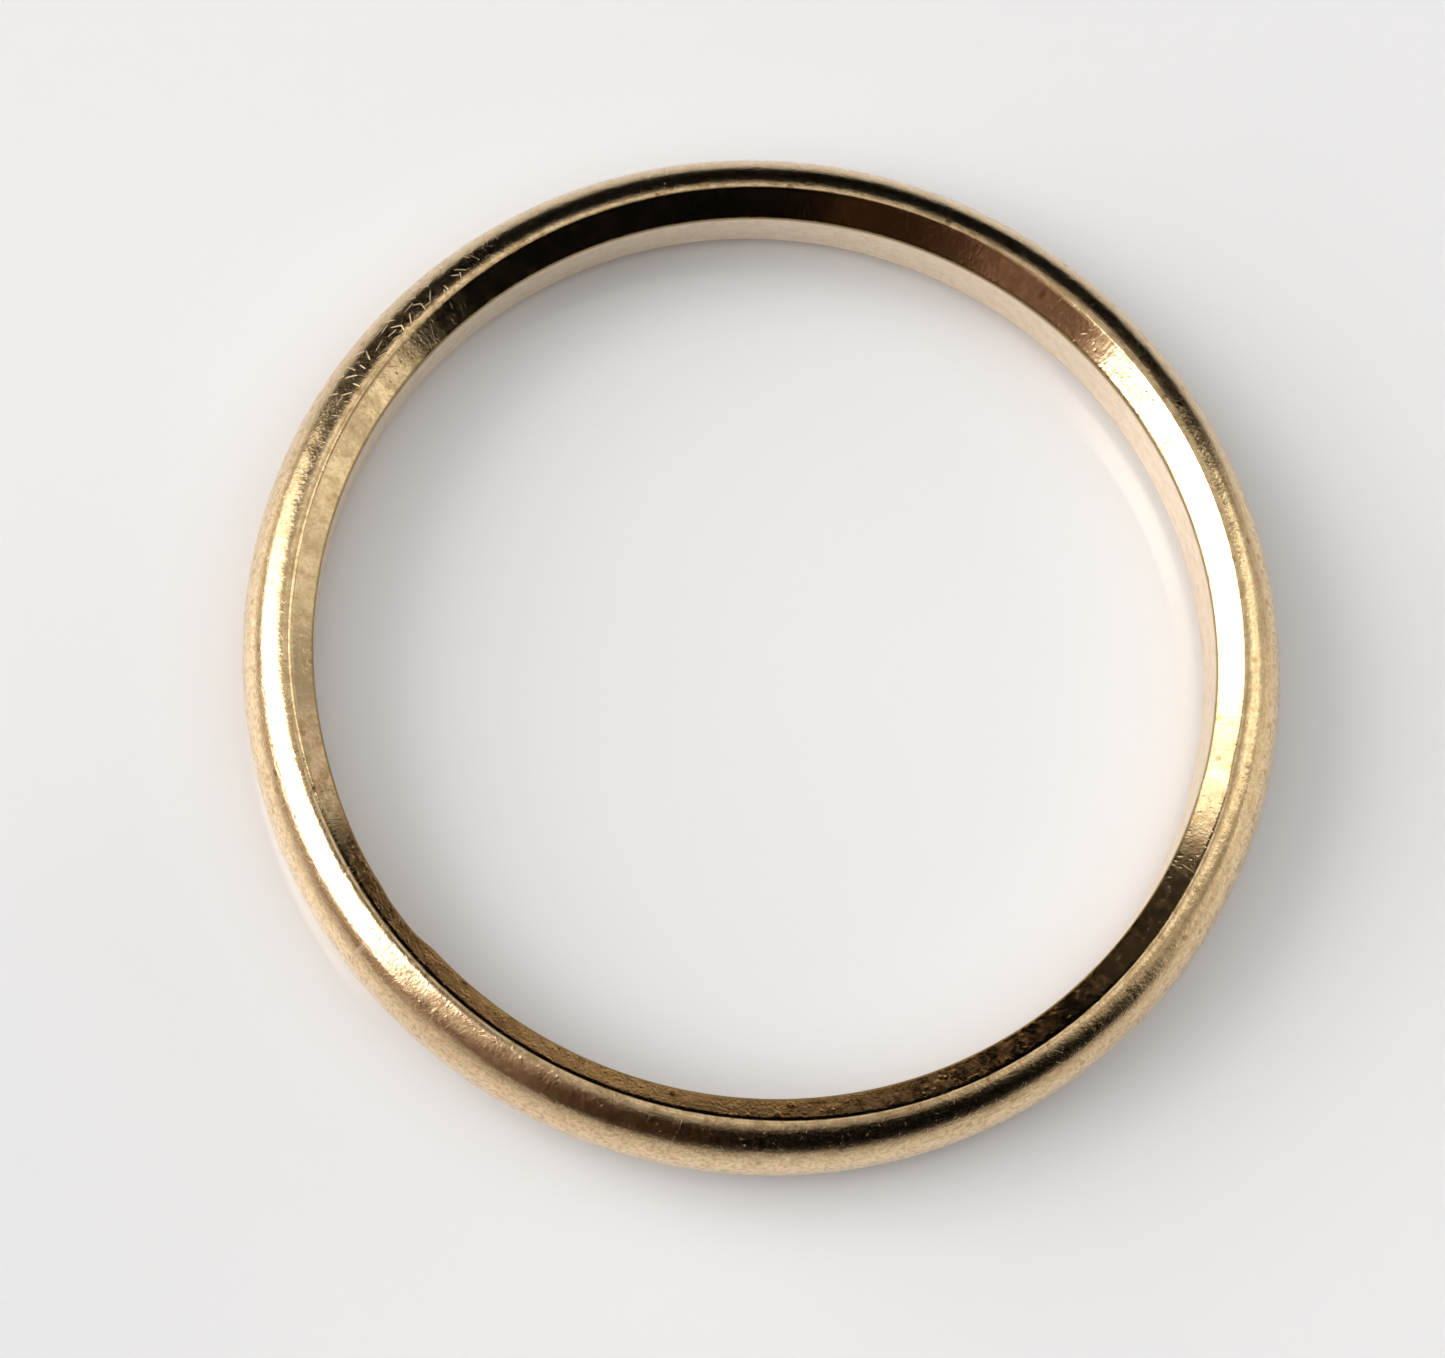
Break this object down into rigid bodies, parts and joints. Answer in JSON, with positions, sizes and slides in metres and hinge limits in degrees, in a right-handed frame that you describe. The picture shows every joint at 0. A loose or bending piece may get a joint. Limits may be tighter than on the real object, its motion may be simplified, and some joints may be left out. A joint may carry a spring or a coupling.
{
  "type": "wedding band",
  "caption": "Plain finger ring of D-shaped section with bevelled inside corners: a strip bent round and closed by a solder joint.",
  "frame": {"origin": "centre of the finger hole, level with the lower land that the band rests on", "axes": "+Z along the finger hole, upwards from the table; the solder joint lies 218 degrees anticlockwise from +X"},
  "size_m": [0.02, 0.02, 0.0021],
  "materials": {
    "yellow_gold": "worn polish, pale yellow gold",
    "gold_solder": "polished flush, slightly paler than the gold"
  },
  "bodies": {
    "root": {"shank": "yellow_gold", "solder_seam": "gold_solder"}
  },
  "joints": []
}
